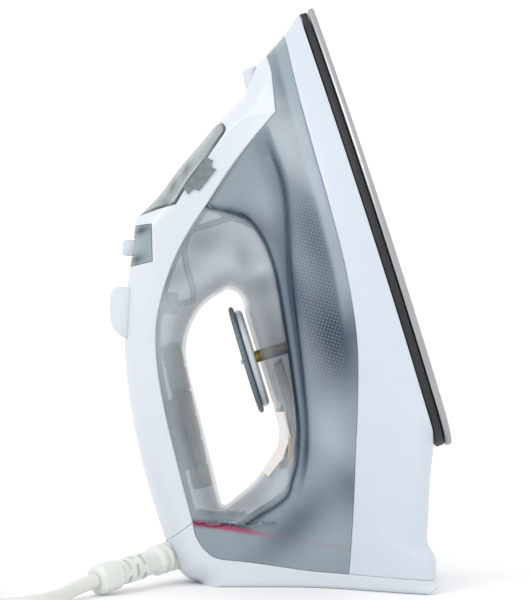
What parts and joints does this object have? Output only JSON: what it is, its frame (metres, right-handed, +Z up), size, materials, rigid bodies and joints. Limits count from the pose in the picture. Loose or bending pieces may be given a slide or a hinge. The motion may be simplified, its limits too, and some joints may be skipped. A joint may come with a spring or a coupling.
{
  "type": "steam iron",
  "caption": "Steam iron standing on its heel, with a pointed soleplate, smoky water tank, open loop handle, temperature dial, two pump buttons and a coiled mains cord.",
  "frame": {"origin": "middle of the heel's flat rest face, on the surface the iron stands on", "axes": "+Z up, the soleplate faces +X, the handle is on the -X side, and +Y runs across"},
  "size_m": [0.3269, 0.1678, 0.2862],
  "materials": {
    "white_plastic": "glossy white",
    "smoky_plastic": "clear smoky blue grey",
    "clear_lid": "clear pale grey",
    "black_shield": "satin, heat resistant",
    "bright_steel": "polished with fine scratches",
    "cast_aluminium": "as cast",
    "brass_parts": "plain",
    "silver_plastic": "silver grey, satin",
    "grey_grip": "ribbed grey",
    "milky_plastic": "milky, lets light through",
    "amber_lamp": "amber glass",
    "cream_plastic": "plain moulded",
    "seal_rubber": "soft silicone",
    "navy_plastic": "dark blue case",
    "circuit_board": "lacquered board",
    "wire_cover": "heat proof sleeve",
    "cord_cover": "soft white cable cover",
    "plug_plastic": "moulded on, fine grain"
  },
  "bodies": {
    "housing": {"soleplate": "bright_steel", "heat_shield": "black_shield", "soleplate_casting": "cast_aluminium", "heating_element": "bright_steel", "element_pin_left": "bright_steel", "element_pin_right": "bright_steel", "chamber_plate": "bright_steel", "chamber_screw_1": "bright_steel", "chamber_screw_2": "bright_steel", "thermostat": "cream_plastic", "thermostat_blade": "brass_parts", "thermal_fuse": "cream_plastic", "steam_pump": "cream_plastic", "spray_pump": "cream_plastic", "valve_seat": "brass_parts", "lid_pin": "bright_steel", "fill_inlet": "white_plastic", "spray_nozzle": "white_plastic", "spray_tube": "cream_plastic", "pilot_lamp": "amber_lamp", "auto_off_board": "circuit_board", "relay": "navy_plastic", "capacitor": "grey_grip", "water_tank": "smoky_plastic", "tank_seal": "seal_rubber", "skirt": "white_plastic", "rear_cover": "white_plastic", "rear_screw": "bright_steel", "handle_shell": "smoky_plastic", "pilot_lens": "milky_plastic", "slider_bezel": "smoky_plastic", "handle_cover": "white_plastic", "inner_cord": "cord_cover", "cord_clamp": "cream_plastic", "terminal_block": "cream_plastic", "lead_live": "wire_cover", "lead_neutral": "wire_cover", "cord_lead": "cord_cover", "cord_coil": "cord_cover", "cord_tail": "cord_cover", "plug_sleeve": "plug_plastic", "plug_body": "plug_plastic", "plug_pin_live": "brass_parts", "plug_pin_neutral": "brass_parts"},
    "dial": {"temperature_dial": "silver_plastic", "dial_grip_ring": "grey_grip", "dial_pointer": "white_plastic", "dial_spindle": "brass_parts"},
    "steam_pusher": {"steam_button": "white_plastic", "steam_piston": "cream_plastic", "steam_spring": "bright_steel"},
    "spray_pusher": {"spray_button": "white_plastic", "spray_piston": "cream_plastic", "spray_spring": "bright_steel"},
    "slider": {"steam_slider": "silver_plastic"},
    "valve": {"steam_valve_rod": "bright_steel"},
    "lid": {"fill_lid": "clear_lid"},
    "guard": {"cord_guard": "plug_plastic"}
  },
  "joints": [
    {"name": "dial_turn", "type": "hinge", "parent": "housing", "child": "dial", "pos_m": [-0.02744, 0, 0.11207], "axis": [-0.9563, 0, -0.2923], "range_deg": [-135, 135]},
    {"name": "steam_press", "type": "slide", "parent": "housing", "child": "steam_pusher", "axis": [0.9995, 0, -0.0325], "range_m": [0, 0.005], "stiffness_N_per_m": 600},
    {"name": "spray_press", "type": "slide", "parent": "housing", "child": "spray_pusher", "axis": [0.9995, 0, -0.0325], "range_m": [0, 0.005], "stiffness_N_per_m": 600},
    {"name": "steam_slide", "type": "slide", "parent": "housing", "child": "slider", "axis": [0, 1, 0], "range_m": [-0.006, 0.006]},
    {"name": "valve_lift", "type": "slide", "parent": "housing", "child": "valve", "axis": [-0.9563, 0, -0.2923], "range_m": [-0.001, 0.001]},
    {"name": "lid_swing", "type": "hinge", "parent": "housing", "child": "lid", "pos_m": [-0.0456, 0, 0.22415], "axis": [0, 1, 0], "range_deg": [0, 90]},
    {"name": "guard_spin", "type": "hinge", "parent": "housing", "child": "guard", "pos_m": [-0.06243, 0, 0.01511], "axis": [-0.638, -0.7603, -0.1219], "range_deg": [-170, 170]}
  ],
  "couplings": [
    {"joint": "valve_lift", "follows": "steam_slide", "ratio": 0.16667}
  ]
}
